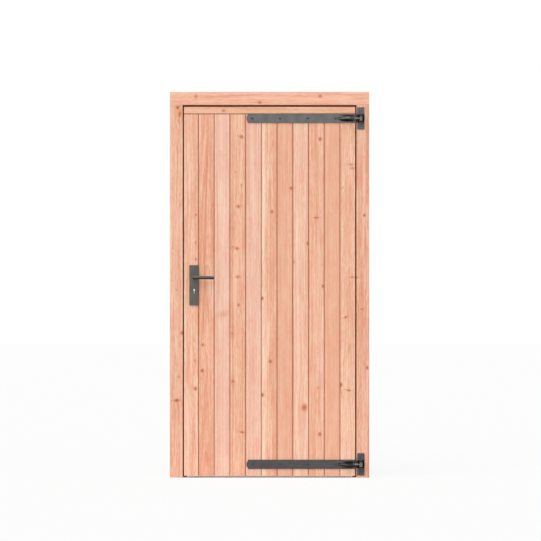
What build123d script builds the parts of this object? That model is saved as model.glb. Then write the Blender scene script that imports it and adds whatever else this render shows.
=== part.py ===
"""Plank door in its outer frame, in millimetres.

X runs along the door's width, Y from its outside to its inside, Z up. The origin is on the outer side
face of the hinge post, at floor level and in the middle of the frame's depth.
"""

from build123d import *
import os

os.makedirs("parts", exist_ok=True)

# Outer frame: two posts with a head beam lying on top of them.
frame_width = 1090.0
frame_height = 2110.0
frame_depth = 90.0
post_face = 70.0
head_face = 72.0
timber_easing = 2.0

# Gaps round the closed leaf, and the stops behind it.
side_gap = 7.0
top_gap = 10.0
floor_gap = 10.0
stop_gap = 5.0
stop_width = 20.0

# Boards of the leaf: tongued and grooved, with a V at each joint.
board_thickness = 18.0
board_cover = 86.0
lock_board_width = 79.0
narrowest_hinge_board = 25.0
board_gap = 1.0
board_vee = 2.5
tongue_length = 7.0
tongue_thickness = 5.0
tongue_set_back = 8.0
tongue_end_play = 0.5
tongue_side_play = 0.2

# Rails, stiles and braces of the leaf.
back_frame_thickness = 27.0
top_rail_face = 38.0
top_rail_height = 110.0
rail_joint = 1.0
middle_rail_height = 120.0
middle_rail_centre = 1000.0
bottom_rail_height = 120.0
brace_width = 90.0
wood_behind_lock = 15.0
leaf_easing = 1.5

# Strap hinges.
top_strap_inset = 63.0
bottom_strap_inset = 63.0
pin_from_post_side = 46.0
strap_width = 50.0
strap_thickness = 5.0
strap_reach = 625.0
strap_to_post = 5.0
strap_tip_flat = 14.0
strap_tip_cut = 9.0
strap_edge_chamfer = 0.8
first_bolt_reach = 138.0
last_bolt_inset = 31.0
strap_bolt_count = 4
housing_from_pin = 40.0
housing_length = 44.0
housing_wall = 5.0
housing_end_wall = 3.0
rib_length = 43.0
rib_radius = 7.5
rib_end_radius = 1.2

# Eye bolts, pins and post plates.
pin_radius = 5.0
pin_play = 0.06
pin_head_radius = 8.0
pin_head_height = 3.0
pin_end_radius = 6.5
pin_end_height = 1.5
eye_radius = 9.0
eye_height = 27.0
eye_end_play = 0.5
eye_to_plate = 3.0
shank_radius = 5.0
shank_play = 0.1
shank_end_play = 0.5
post_plate_width = 40.0
post_plate_height = 121.0
post_plate_thickness = 4.0
post_plate_corner = 3.0
ear_thickness = 6.0
ear_half_width = 18.0
post_screw_inset = 16.5
post_screw_radius = 3.0
post_screw_length = 45.0
post_screw_head_radius = 5.5
post_screw_head_height = 3.0

# Bolts through the straps.
bolt_radius = 3.0
bolt_head_radius = 6.0
bolt_head_height = 3.5
washer_radius = 9.0
washer_thickness = 1.6
nut_across_flats = 10.0
nut_thickness = 5.0
bolt_tail = 2.0
head_rim = 0.8
hole_play = 0.2

# Lock and its bolts.
lever_height = 1095.0
backset = 55.0
keyhole_drop = 68.0
lock_depth = 80.0
lock_thickness = 15.0
lock_above_lever = 45.0
lock_below_lever = 120.0
lock_play = 0.2
face_plate_thickness = 3.0
face_plate_width = 20.0
face_plate_margin = 35.0
lock_bolt_width = 12.0
lock_bolt_depth = 10.0
latch_height = 18.0
dead_bolt_height = 26.0
dead_bolt_drop = 62.0

# Handle plates, levers and spindle.
plate_width = 52.0
plate_thickness = 8.0
plate_above_lever = 67.0
plate_below_lever = 152.5
plate_corner = 3.0
plate_edge = 2.0
keyhole_radius = 4.5
keyhole_tail = 21.0
keyhole_tail_top = 4.4
keyhole_tail_foot = 2.8
key_bore_margin = 1.0
plate_screw_inset = 12.0
plate_screw_radius = 2.5
plate_screw_head_radius = 4.5
plate_screw_head_height = 2.5
plate_screw_grip = 5.0
lever_projection = 55.0
lever_bar_depth = 13.0
lever_reach = 112.0
lever_bar_radius = 10.0
lever_tip_top = 7.0
lever_edge = 4.0
neck_radius = 9.0
neck_play = 0.08
neck_end_gap = 0.5
spindle_width = 8.0
spindle_play = 0.1
spindle_grip = 25.0
spindle_bore_radius = 7.0

# Strike plate on the lock post.
strike_thickness = 3.0
strike_width = 24.0
strike_margin = 24.0
strike_window_play = 2.0
strike_pocket_depth = 14.0

# Places that follow from these sizes.
frame_front = -frame_depth / 2
frame_back = frame_depth / 2
post_height = frame_height - head_face
lock_post_side = -frame_width + post_face
leaf_left = lock_post_side + side_gap
leaf_right = -post_face - side_gap
leaf_width = leaf_right - leaf_left
leaf_bottom = floor_gap
leaf_top = post_height - top_gap
board_back = frame_front + board_thickness
leaf_back = board_back + back_frame_thickness
stop_front = leaf_back + stop_gap
board_top = leaf_top - top_rail_face - rail_joint
stile_width = lock_depth + wood_behind_lock
rails_left = leaf_left + stile_width
rails_right = leaf_right - stile_width
strap_front = frame_front - strap_thickness
pin_x = -pin_from_post_side
pin_y = frame_front - post_plate_thickness - eye_to_plate - eye_radius
pin_bore_radius = pin_radius + pin_play
ear_inner = eye_height / 2 + eye_end_play
strap_heights = {"top": leaf_top - top_strap_inset, "bottom": leaf_bottom + bottom_strap_inset}
bolt_pitch = (strap_reach - last_bolt_inset - first_bolt_reach) / (strap_bolt_count - 1)
bolt_columns = [pin_x - first_bolt_reach - bolt_pitch * step for step in range(strap_bolt_count)]
lever_x = leaf_left + backset
keyhole_height = lever_height - keyhole_drop
keyhole_middle = keyhole_height + (keyhole_radius - keyhole_tail) / 2
key_bore_radius = (keyhole_radius + keyhole_tail) / 2 + key_bore_margin
lock_middle = (board_back + leaf_back) / 2
plate_top = lever_height + plate_above_lever
plate_bottom = lever_height - plate_below_lever
plate_screw_heights = [plate_top - plate_screw_inset, plate_bottom + plate_screw_inset]
dead_bolt_centre = lever_height - dead_bolt_drop


def facing(y):
    """Plane across the door at depth y, seen from the outside: its own x is X and its own y is Z."""
    return Plane.XZ.offset(-y)


def block(left, right, front, back, bottom, top, mode=Mode.ADD):
    """Square-edged block between two corners, in the part being made."""
    with Locations(((left + right) / 2, (front + back) / 2, (bottom + top) / 2)):
        Box(right - left, back - front, top - bottom, mode=mode)


def rod(x, z, radius, front, back, mode=Mode.ADD):
    """Round bar, or with SUBTRACT a hole, along the door's depth."""
    with Locations((x, (front + back) / 2, z)):
        Cylinder(radius, back - front, rotation=(90, 0, 0), mode=mode)


def drill_leaf():
    """Holes that the strap bolts, the spindle, the key and the plate screws take through the leaf."""
    for height in strap_heights.values():
        for column in bolt_columns:
            rod(column, height, bolt_radius + hole_play, frame_front, leaf_back, Mode.SUBTRACT)
    rod(lever_x, lever_height, spindle_bore_radius, frame_front, leaf_back, Mode.SUBTRACT)
    rod(lever_x, keyhole_middle, key_bore_radius, frame_front, leaf_back, Mode.SUBTRACT)
    for height in plate_screw_heights:
        rod(lever_x, height, plate_screw_radius + hole_play, frame_front, leaf_back, Mode.SUBTRACT)


def cut_keyhole(front, back):
    """Round hole with a narrowing tail under it."""
    tail_foot = keyhole_height - keyhole_tail
    with BuildSketch(facing(back)) as keyhole:
        with Locations((lever_x, keyhole_height)):
            Circle(keyhole_radius)
        with BuildLine():
            Polyline(
                (lever_x - keyhole_tail_top / 2, keyhole_height),
                (lever_x + keyhole_tail_top / 2, keyhole_height),
                (lever_x + keyhole_tail_foot / 2, tail_foot),
                (lever_x - keyhole_tail_foot / 2, tail_foot),
                close=True,
            )
        make_face()
    extrude(keyhole.sketch, amount=back - front, mode=Mode.SUBTRACT)


# Outer frame.
with BuildPart() as hinge_post:
    with BuildSketch():
        with Locations((-post_face / 2, 0)):
            RectangleRounded(post_face, frame_depth, timber_easing)
    extrude(amount=post_height)
    for height in strap_heights.values():
        for side in (-1, 1):
            screw_height = height + side * (post_plate_height / 2 - post_screw_inset)
            screw_end = frame_front - post_plate_thickness + post_screw_length
            rod(pin_x, screw_height, post_screw_radius + hole_play, frame_front, screw_end, Mode.SUBTRACT)
hinge_post.part.label = "hinge_post"
export_step(hinge_post.part, "parts/hinge_post.step")

strike_top = lever_height + latch_height / 2 + strike_margin
strike_bottom = dead_bolt_centre - dead_bolt_height / 2 - strike_margin
strike_back = lock_post_side - strike_thickness
window_half_width = lock_bolt_width / 2 + strike_window_play
latch_window = latch_height / 2 + strike_window_play
dead_bolt_window = dead_bolt_height / 2 + strike_window_play


def cut_strike_windows(left, right):
    """Windows that the latch and the bolt go into."""
    for centre, half_height in ((lever_height, latch_window), (dead_bolt_centre, dead_bolt_window)):
        block(
            left,
            right,
            lock_middle - window_half_width,
            lock_middle + window_half_width,
            centre - half_height,
            centre + half_height,
            Mode.SUBTRACT,
        )


with BuildPart() as lock_post:
    with BuildSketch():
        with Locations((-frame_width + post_face / 2, 0)):
            RectangleRounded(post_face, frame_depth, timber_easing)
    extrude(amount=post_height)
    block(
        strike_back,
        lock_post_side,
        lock_middle - strike_width / 2 - lock_play,
        lock_middle + strike_width / 2 + lock_play,
        strike_bottom - lock_play,
        strike_top + lock_play,
        Mode.SUBTRACT,
    )
    cut_strike_windows(strike_back - strike_pocket_depth, strike_back)
lock_post.part.label = "lock_post"
export_step(lock_post.part, "parts/lock_post.step")

with BuildPart() as strike_plate:
    block(
        strike_back,
        lock_post_side,
        lock_middle - strike_width / 2,
        lock_middle + strike_width / 2,
        strike_bottom,
        strike_top,
    )
    cut_strike_windows(strike_back, lock_post_side)
strike_plate.part.label = "strike_plate"
export_step(strike_plate.part, "parts/strike_plate.step")

with BuildPart() as head_beam:
    with BuildSketch(Plane.YZ.offset(-frame_width)):
        with Locations((0, post_height + head_face / 2)):
            RectangleRounded(frame_depth, head_face, timber_easing)
    extrude(amount=frame_width)
head_beam.part.label = "head_beam"
export_step(head_beam.part, "parts/head_beam.step")

stop_height = post_height - stop_width

with BuildPart() as hinge_stop:
    block(-post_face - stop_width, -post_face, stop_front, frame_back, 0, stop_height)
    fillet(hinge_stop.edges().filter_by(Axis.Z).sort_by(Axis.X)[:2], timber_easing)
hinge_stop.part.label = "hinge_stop"
export_step(hinge_stop.part, "parts/hinge_stop.step")

with BuildPart() as lock_stop:
    block(lock_post_side, lock_post_side + stop_width, stop_front, frame_back, 0, stop_height)
    fillet(lock_stop.edges().filter_by(Axis.Z).sort_by(Axis.X)[-2:], timber_easing)
lock_stop.part.label = "lock_stop"
export_step(lock_stop.part, "parts/lock_stop.step")

with BuildPart() as head_stop:
    block(lock_post_side, -post_face, stop_front, frame_back, stop_height, post_height)
    fillet(head_stop.edges().filter_by(Axis.X).sort_by(Axis.Z)[:2], timber_easing)
head_stop.part.label = "head_stop"
export_step(head_stop.part, "parts/head_stop.step")

# Boards of the leaf, from the lock side to the hinge side. The boards at both edges are ripped to width.
full_boards = int((leaf_width - lock_board_width - narrowest_hinge_board) // board_cover)
joints = [leaf_left + lock_board_width + board_cover * step for step in range(full_boards + 1)]
board_edges = [leaf_left, *joints, leaf_right]
tongue_middle = frame_front + tongue_set_back + tongue_thickness / 2

for number in range(1, len(board_edges)):
    first = number == 1
    last = number == len(board_edges) - 1
    left = board_edges[number - 1] + (0 if first else board_gap / 2)
    right = board_edges[number] - (0 if last else board_gap / 2)
    with BuildPart() as board:
        with BuildSketch(Plane.XY.offset(leaf_bottom)) as profile:
            with Locations(((left + right) / 2, frame_front + board_thickness / 2)):
                Rectangle(right - left, board_thickness)
            chamfer(
                profile.vertices().group_by(Axis.Y)[0].sort_by(Axis.X)[0],
                leaf_easing if first else board_vee,
            )
            chamfer(
                profile.vertices().group_by(Axis.Y)[0].sort_by(Axis.X)[-1],
                leaf_easing if last else board_vee,
            )
            if not last:
                with Locations((right + tongue_length / 2, tongue_middle)):
                    Rectangle(tongue_length, tongue_thickness)
            if not first:
                groove_depth = tongue_length - board_gap + tongue_end_play
                with Locations((left + groove_depth / 2, tongue_middle)):
                    Rectangle(groove_depth, tongue_thickness + 2 * tongue_side_play, mode=Mode.SUBTRACT)
        extrude(amount=board_top - leaf_bottom)
        chamfer(board.faces().sort_by(Axis.Z)[-1].edges().sort_by(Axis.Y)[0], board_vee)
        drill_leaf()
    board.part.label = f"board_{number:02d}"
    export_step(board.part, f"parts/board_{number:02d}.step")

# Rails, stiles and braces.
with BuildPart() as top_rail:
    block(leaf_left, leaf_right, frame_front, board_back, leaf_top - top_rail_face, leaf_top)
    chamfer(top_rail.faces().sort_by(Axis.Y)[0].edges().filter_by(Axis.X).sort_by(Axis.Z)[0], board_vee)
    chamfer(top_rail.faces().sort_by(Axis.Y)[0].edges().filter_by(Axis.X).sort_by(Axis.Z)[-1], leaf_easing)
    block(rails_left, rails_right, board_back, leaf_back, leaf_top - top_rail_height, leaf_top)
    drill_leaf()
top_rail.part.label = "top_rail"
export_step(top_rail.part, "parts/top_rail.step")

middle_rail_bottom = middle_rail_centre - middle_rail_height / 2
middle_rail_top = middle_rail_centre + middle_rail_height / 2
bottom_rail_top = leaf_bottom + bottom_rail_height

with BuildPart() as middle_rail:
    block(rails_left, rails_right, board_back, leaf_back, middle_rail_bottom, middle_rail_top)
middle_rail.part.label = "middle_rail"
export_step(middle_rail.part, "parts/middle_rail.step")

with BuildPart() as bottom_rail:
    block(rails_left, rails_right, board_back, leaf_back, leaf_bottom, bottom_rail_top)
    drill_leaf()
bottom_rail.part.label = "bottom_rail"
export_step(bottom_rail.part, "parts/bottom_rail.step")

with BuildPart() as hinge_stile:
    block(rails_right, leaf_right, board_back, leaf_back, leaf_bottom, leaf_top)
    fillet(hinge_stile.edges().filter_by(Axis.Z).group_by(Axis.Y)[-1].sort_by(Axis.X)[-1], leaf_easing)
    drill_leaf()
hinge_stile.part.label = "hinge_stile"
export_step(hinge_stile.part, "parts/hinge_stile.step")

lock_top = lever_height + lock_above_lever
lock_bottom = lever_height - lock_below_lever
case_left = leaf_left + face_plate_thickness

with BuildPart() as lock_stile:
    block(leaf_left, rails_left, board_back, leaf_back, leaf_bottom, leaf_top)
    fillet(lock_stile.edges().filter_by(Axis.Z).group_by(Axis.Y)[-1].sort_by(Axis.X)[0], leaf_easing)
    block(
        leaf_left,
        leaf_left + lock_depth + lock_play,
        lock_middle - lock_thickness / 2 - lock_play,
        lock_middle + lock_thickness / 2 + lock_play,
        lock_bottom - lock_play,
        lock_top + lock_play,
        Mode.SUBTRACT,
    )
    block(
        leaf_left,
        case_left,
        lock_middle - face_plate_width / 2 - lock_play,
        lock_middle + face_plate_width / 2 + lock_play,
        lock_bottom - face_plate_margin - lock_play,
        lock_top + face_plate_margin + lock_play,
        Mode.SUBTRACT,
    )
    drill_leaf()
lock_stile.part.label = "lock_stile"
export_step(lock_stile.part, "parts/lock_stile.step")


def brace_outline(bottom, top):
    """Brace across one bay, rising from its hinge side, with both ends cut to the rail and the stile."""
    bay_width = rails_right - rails_left
    bay = Vector(bay_width, top - bottom)
    with Locations(((rails_left + rails_right) / 2, (bottom + top) / 2)):
        Rectangle(bay_width, top - bottom)
        Rectangle(
            bay.length * 2,
            brace_width,
            rotation=-Vector(1, 0).get_angle(bay),
            mode=Mode.INTERSECT,
        )


with BuildPart() as upper_brace:
    with BuildSketch(facing(leaf_back)):
        brace_outline(middle_rail_top, leaf_top - top_rail_height)
    extrude(amount=back_frame_thickness)
upper_brace.part.label = "upper_brace"
export_step(upper_brace.part, "parts/upper_brace.step")

with BuildPart() as lower_brace:
    with BuildSketch(facing(leaf_back)):
        brace_outline(bottom_rail_top, middle_rail_bottom)
    extrude(amount=back_frame_thickness)
lower_brace.part.label = "lower_brace"
export_step(lower_brace.part, "parts/lower_brace.step")

# Both hinges. The bottom one is the top one turned upside down.
strap_right = -post_face - strap_to_post
strap_tip = pin_x - strap_reach
housing_left = pin_x - housing_from_pin - housing_length
housing_radius = shank_radius + shank_play + housing_wall
shank_bore_end = housing_left + housing_end_wall

for place, height in strap_heights.items():
    outwards = 1 if place == "top" else -1

    with BuildPart() as strap:
        with BuildSketch(facing(frame_front)):
            with BuildLine():
                Polyline(
                    (strap_right, height - strap_width / 2),
                    (strap_right, height + strap_width / 2),
                    (strap_tip + strap_tip_cut, height + strap_width / 2),
                    (strap_tip, height + strap_tip_flat / 2),
                    (strap_tip, height - strap_tip_flat / 2),
                    (strap_tip + strap_tip_cut, height - strap_width / 2),
                    close=True,
                )
            make_face()
        extrude(amount=strap_thickness)
        chamfer(strap.faces().sort_by(Axis.Y)[0].edges(), strap_edge_chamfer)
        with BuildSketch(Plane.YZ.offset(housing_left)):
            with Locations((pin_y, height)):
                Circle(housing_radius)
            with Locations(((pin_y + strap_front) / 2, height)):
                Rectangle(strap_front - pin_y, 2 * housing_radius)
        extrude(amount=housing_length)
        for section_x, radius in ((housing_left, rib_radius), (housing_left - rib_length, rib_end_radius)):
            with BuildSketch(Plane.YZ.offset(section_x)):
                with BuildLine():
                    CenterArc((strap_front, height), radius, 90, 180)
                    Line((strap_front, height - radius), (strap_front, height + radius))
                make_face()
        loft()
        with Locations(((shank_bore_end + strap_right) / 2, pin_y, height)):
            Cylinder(
                shank_radius + shank_play,
                strap_right - shank_bore_end,
                rotation=(0, 90, 0),
                mode=Mode.SUBTRACT,
            )
        for column in bolt_columns:
            rod(column, height, bolt_radius + hole_play, strap_front, frame_front, Mode.SUBTRACT)
    strap.part.label = f"{place}_strap"
    export_step(strap.part, f"parts/{place}_strap.step")

    shank_end = shank_bore_end + shank_end_play
    with BuildPart() as eye_bolt:
        with Locations((pin_x, pin_y, height)):
            Cylinder(eye_radius, eye_height)
        with Locations(((shank_end + pin_x) / 2, pin_y, height)):
            Cylinder(shank_radius, pin_x - shank_end, rotation=(0, 90, 0))
        with Locations((pin_x, pin_y, height)):
            Cylinder(pin_bore_radius, eye_height, mode=Mode.SUBTRACT)
    eye_bolt.part.label = f"{place}_eye_bolt"
    export_step(eye_bolt.part, f"parts/{place}_eye_bolt.step")

    bolt_end = leaf_back + washer_thickness + nut_thickness + bolt_tail
    with BuildPart() as strap_bolts:
        with BuildSketch(facing(strap_front)):
            with Locations(*[(column, height) for column in bolt_columns]):
                Circle(bolt_head_radius)
        extrude(amount=bolt_head_height)
        head_rims = strap_bolts.faces().group_by(Axis.Y)[0].edges()
        fillet(head_rims, bolt_head_height - head_rim)
        for column in bolt_columns:
            rod(column, height, bolt_radius, strap_front, bolt_end)
        with BuildSketch(facing(leaf_back + washer_thickness)):
            with Locations(*[(column, height) for column in bolt_columns]):
                Circle(washer_radius)
        extrude(amount=washer_thickness)
        with BuildSketch(facing(leaf_back + washer_thickness + nut_thickness)):
            with Locations(*[(column, height) for column in bolt_columns]):
                RegularPolygon(nut_across_flats / 2, 6, major_radius=False)
        extrude(amount=nut_thickness)
    strap_bolts.part.label = f"{place}_strap_bolts"
    export_step(strap_bolts.part, f"parts/{place}_strap_bolts.step")

    plate_front = frame_front - post_plate_thickness
    screw_heights = [
        height + side * (post_plate_height / 2 - post_screw_inset) for side in (-1, 1)
    ]
    with BuildPart() as post_plate:
        with BuildSketch(facing(frame_front)):
            with Locations((pin_x, height)):
                RectangleRounded(post_plate_width, post_plate_height, post_plate_corner)
        extrude(amount=post_plate_thickness)
        for ear_bottom in (height + ear_inner, height - ear_inner - ear_thickness):
            with BuildSketch(Plane.XY.offset(ear_bottom)):
                with Locations((pin_x, pin_y)):
                    Circle(ear_half_width)
                with Locations((pin_x, (pin_y + plate_front) / 2)):
                    Rectangle(2 * ear_half_width, plate_front - pin_y)
                with Locations((pin_x, plate_front + ear_half_width / 2)):
                    Rectangle(2 * ear_half_width, ear_half_width, mode=Mode.SUBTRACT)
            extrude(amount=ear_thickness)
        with Locations((pin_x, pin_y, height)):
            Cylinder(pin_bore_radius, 2 * (ear_inner + ear_thickness), mode=Mode.SUBTRACT)
        for screw_height in screw_heights:
            rod(pin_x, screw_height, post_screw_radius + hole_play, plate_front, frame_front, Mode.SUBTRACT)
    post_plate.part.label = f"{place}_post_plate"
    export_step(post_plate.part, f"parts/{place}_post_plate.step")

    ear_outer = ear_inner + ear_thickness
    with BuildPart() as hinge_pin:
        with Locations((pin_x, pin_y, height)):
            Cylinder(pin_radius, 2 * ear_outer)
        with Locations((pin_x, pin_y, height + outwards * (ear_outer + pin_head_height / 2))):
            Cylinder(pin_head_radius, pin_head_height)
        with Locations((pin_x, pin_y, height - outwards * (ear_outer + pin_end_height / 2))):
            Cylinder(pin_end_radius, pin_end_height)
    hinge_pin.part.label = f"{place}_hinge_pin"
    export_step(hinge_pin.part, f"parts/{place}_hinge_pin.step")

    with BuildPart() as plate_screws:
        with BuildSketch(facing(plate_front)):
            with Locations(*[(pin_x, screw_height) for screw_height in screw_heights]):
                Circle(post_screw_head_radius)
        extrude(amount=post_screw_head_height)
        fillet(plate_screws.faces().group_by(Axis.Y)[0].edges(), post_screw_head_height - head_rim)
        for screw_height in screw_heights:
            rod(pin_x, screw_height, post_screw_radius, plate_front, plate_front + post_screw_length)
    plate_screws.part.label = f"{place}_plate_screws"
    export_step(plate_screws.part, f"parts/{place}_plate_screws.step")

# Mortise lock in the lock stile.
with BuildPart() as mortise_lock:
    block(
        case_left,
        leaf_left + lock_depth,
        lock_middle - lock_thickness / 2,
        lock_middle + lock_thickness / 2,
        lock_bottom,
        lock_top,
    )
    block(
        leaf_left,
        case_left,
        lock_middle - face_plate_width / 2,
        lock_middle + face_plate_width / 2,
        lock_bottom - face_plate_margin,
        lock_top + face_plate_margin,
    )
    rod(lever_x, lever_height, spindle_bore_radius, board_back, leaf_back, Mode.SUBTRACT)
    cut_keyhole(board_back, leaf_back)
    for centre, bolt_height in ((lever_height, latch_height), (dead_bolt_centre, dead_bolt_height)):
        block(
            leaf_left,
            leaf_left + lock_bolt_depth,
            lock_middle - lock_bolt_width / 2 - lock_play,
            lock_middle + lock_bolt_width / 2 + lock_play,
            centre - bolt_height / 2 - lock_play,
            centre + bolt_height / 2 + lock_play,
            Mode.SUBTRACT,
        )
mortise_lock.part.label = "mortise_lock"
export_step(mortise_lock.part, "parts/mortise_lock.step")

with BuildPart() as lock_bolts:
    for centre, bolt_height in ((lever_height, latch_height), (dead_bolt_centre, dead_bolt_height)):
        block(
            leaf_left,
            leaf_left + lock_bolt_depth,
            lock_middle - lock_bolt_width / 2,
            lock_middle + lock_bolt_width / 2,
            centre - bolt_height / 2,
            centre + bolt_height / 2,
        )
lock_bolts.part.label = "lock_bolts"
export_step(lock_bolts.part, "parts/lock_bolts.step")

# Handle plates, one on each face of the leaf.
plate_middle = (plate_top + plate_bottom) / 2

with BuildPart() as outside_plate:
    with BuildSketch(facing(frame_front)):
        with Locations((lever_x, plate_middle)):
            RectangleRounded(plate_width, plate_top - plate_bottom, plate_corner)
    extrude(amount=plate_thickness)
    fillet(outside_plate.faces().sort_by(Axis.Y)[0].edges(), plate_edge)
    outside_plate_front = frame_front - plate_thickness
    rod(lever_x, lever_height, neck_radius + neck_play, outside_plate_front, frame_front, Mode.SUBTRACT)
    cut_keyhole(outside_plate_front, frame_front)
    for height in plate_screw_heights:
        screw_seat = frame_front - plate_screw_grip
        rod(lever_x, height, plate_screw_radius + hole_play, screw_seat, frame_front, Mode.SUBTRACT)
outside_plate.part.label = "outside_plate"
export_step(outside_plate.part, "parts/outside_plate.step")

with BuildPart() as inside_plate:
    inside_plate_face = leaf_back + plate_thickness
    with BuildSketch(facing(inside_plate_face)):
        with Locations((lever_x, plate_middle)):
            RectangleRounded(plate_width, plate_top - plate_bottom, plate_corner)
    extrude(amount=plate_thickness)
    fillet(inside_plate.faces().sort_by(Axis.Y)[-1].edges(), plate_edge)
    rod(lever_x, lever_height, neck_radius + neck_play, leaf_back, inside_plate_face, Mode.SUBTRACT)
    cut_keyhole(leaf_back, inside_plate_face)
    for height in plate_screw_heights:
        rod(lever_x, height, plate_screw_radius + hole_play, leaf_back, inside_plate_face, Mode.SUBTRACT)
inside_plate.part.label = "inside_plate"
export_step(inside_plate.part, "parts/inside_plate.step")

with BuildPart() as handle_screws:
    for height in plate_screw_heights:
        rod(lever_x, height, plate_screw_radius, frame_front - plate_screw_grip, inside_plate_face)
        head_face_y = inside_plate_face + plate_screw_head_height
        rod(lever_x, height, plate_screw_head_radius, inside_plate_face, head_face_y)
handle_screws.part.label = "handle_screws"
export_step(handle_screws.part, "parts/handle_screws.step")


def lever_bar_outline():
    """Bar seen from the front: round about the spindle, level below, a little lower at the tip above."""
    with BuildLine() as outline:
        Polyline(
            (lever_x, lever_height - lever_bar_radius),
            (lever_x + lever_reach, lever_height - lever_bar_radius),
            (lever_x + lever_reach, lever_height + lever_tip_top),
            (lever_x, lever_height + lever_bar_radius),
        )
        CenterArc((lever_x, lever_height), lever_bar_radius, 90, 180)
    make_face(outline.edges())


# Levers, joined by the spindle.
with BuildPart() as outside_lever:
    bar_back = frame_front - lever_projection + lever_bar_depth
    with BuildSketch(facing(bar_back)):
        lever_bar_outline()
    extrude(amount=lever_bar_depth)
    fillet(outside_lever.edges().filter_by(Plane.XZ), lever_edge)
    rod(lever_x, lever_height, neck_radius, bar_back, frame_front - neck_end_gap)
    socket_front = frame_front - spindle_grip
    block(
        lever_x - spindle_width / 2 - spindle_play,
        lever_x + spindle_width / 2 + spindle_play,
        socket_front,
        frame_front,
        lever_height - spindle_width / 2 - spindle_play,
        lever_height + spindle_width / 2 + spindle_play,
        Mode.SUBTRACT,
    )
outside_lever.part.label = "outside_lever"
export_step(outside_lever.part, "parts/outside_lever.step")

with BuildPart() as inside_lever:
    bar_front = leaf_back + lever_projection - lever_bar_depth
    with BuildSketch(facing(leaf_back + lever_projection)):
        lever_bar_outline()
    extrude(amount=lever_bar_depth)
    fillet(inside_lever.edges().filter_by(Plane.XZ), lever_edge)
    rod(lever_x, lever_height, neck_radius, leaf_back + neck_end_gap, bar_front)
    socket_back = leaf_back + spindle_grip
    block(
        lever_x - spindle_width / 2 - spindle_play,
        lever_x + spindle_width / 2 + spindle_play,
        leaf_back,
        socket_back,
        lever_height - spindle_width / 2 - spindle_play,
        lever_height + spindle_width / 2 + spindle_play,
        Mode.SUBTRACT,
    )
inside_lever.part.label = "inside_lever"
export_step(inside_lever.part, "parts/inside_lever.step")

with BuildPart() as spindle:
    block(
        lever_x - spindle_width / 2,
        lever_x + spindle_width / 2,
        socket_front,
        socket_back,
        lever_height - spindle_width / 2,
        lever_height + spindle_width / 2,
    )
spindle.part.label = "spindle"
export_step(spindle.part, "parts/spindle.step")
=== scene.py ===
"""Looks of a plank door in its frame.

Planed softwood, powder coated steel hinges, a coated aluminium handle set and a zinc plated lock.
"""

import math

import bmesh
import bpy
from mathutils import Matrix, Vector


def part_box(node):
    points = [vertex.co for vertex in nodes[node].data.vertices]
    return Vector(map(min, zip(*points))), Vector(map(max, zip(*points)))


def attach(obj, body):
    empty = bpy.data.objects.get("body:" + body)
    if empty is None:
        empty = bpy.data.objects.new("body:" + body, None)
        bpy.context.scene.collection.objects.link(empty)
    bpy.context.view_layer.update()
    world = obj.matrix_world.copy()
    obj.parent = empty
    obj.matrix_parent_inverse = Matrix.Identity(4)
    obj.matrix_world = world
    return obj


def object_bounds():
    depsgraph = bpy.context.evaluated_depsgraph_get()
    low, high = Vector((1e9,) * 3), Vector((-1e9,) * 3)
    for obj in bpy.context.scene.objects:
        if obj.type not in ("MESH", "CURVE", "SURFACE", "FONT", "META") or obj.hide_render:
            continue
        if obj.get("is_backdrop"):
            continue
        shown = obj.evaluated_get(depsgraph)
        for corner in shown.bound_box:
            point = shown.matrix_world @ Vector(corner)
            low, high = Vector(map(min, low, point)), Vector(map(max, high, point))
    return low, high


MM = 0.001

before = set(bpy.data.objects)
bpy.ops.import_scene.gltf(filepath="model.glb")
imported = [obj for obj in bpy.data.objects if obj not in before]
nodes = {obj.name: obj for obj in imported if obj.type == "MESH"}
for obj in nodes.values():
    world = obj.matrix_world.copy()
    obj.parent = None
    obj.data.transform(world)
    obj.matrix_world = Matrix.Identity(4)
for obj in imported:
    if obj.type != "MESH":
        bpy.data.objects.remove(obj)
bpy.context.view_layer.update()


def linear(code):
    """An sRGB hex colour as linear RGBA."""
    levels = [int(code[start : start + 2], 16) / 255 for start in (0, 2, 4)]
    return (*[v / 12.92 if v <= 0.04045 else ((v + 0.055) / 1.055) ** 2.4 for v in levels], 1)


def add_node(tree, kind, inputs, **settings):
    """Adds a node. Each input is a value, another node's output, or a node, which gives its first output."""
    node = tree.nodes.new("ShaderNode" + kind)
    for setting, value in settings.items():
        setattr(node, setting, value)
    for socket, value in inputs.items():
        if isinstance(value, bpy.types.Node):
            value = value.outputs[0]
        if isinstance(value, bpy.types.NodeSocket):
            tree.links.new(value, node.inputs[socket])
        else:
            node.inputs[socket].default_value = value
    return node


def set_ramp(node, *stops):
    """Gives a colour ramp its stops: (place, hex colour)."""
    elements = node.color_ramp.elements
    while len(elements) < len(stops):
        elements.new(1)
    for element, (place, code) in zip(elements, stops):
        element.position = place
        element.color = linear(code)


def new_material(name):
    """An empty material with its output and its Principled BSDF."""
    material = bpy.data.materials.new(name)
    material.use_nodes = True
    tree = material.node_tree
    return material, tree, tree.nodes["Principled BSDF"]


# Planed, unfinished softwood. The eye sees a salmon to cream ground, thin darker latewood lines that run with the
# board and open into flames where it was sawn flat, wider bands of tone, fine fibres, a few red streaks, and small
# red-brown knots that the lines flow round. Its surface is matt with a faint silky sheen.
KNOT_HEART = "96532F"
KNOT_TONE = "AC633C"
KNOT_EDGE = "C67C53"
KNOT_HALO = "E8A27F"
STREAK_TONE = "D0805A"
LATEWOOD_TONE = "CE835F"
SAWN_END_TONE = "A86C48"
# Painted shade on the sides of the V joints and on the faces in the gaps round the leaf.
GROOVE_SHADE_TONE = "9A4F28"
CREAM_BLUSH = "F5D6AE"
PINK_BLUSH = "F2A48E"
# Painted shadow of the hinges on the hinge post.
HINGE_SHADOW_TONE = "4A3B34"
RAIL_TONES = ("F6C6A6", "E09C75")
# The stops are darker than the other timbers, as painted shade where they show through the gap round the leaf.
STOP_SHADE_TONES = ("A86C48", "8A5030")

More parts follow.
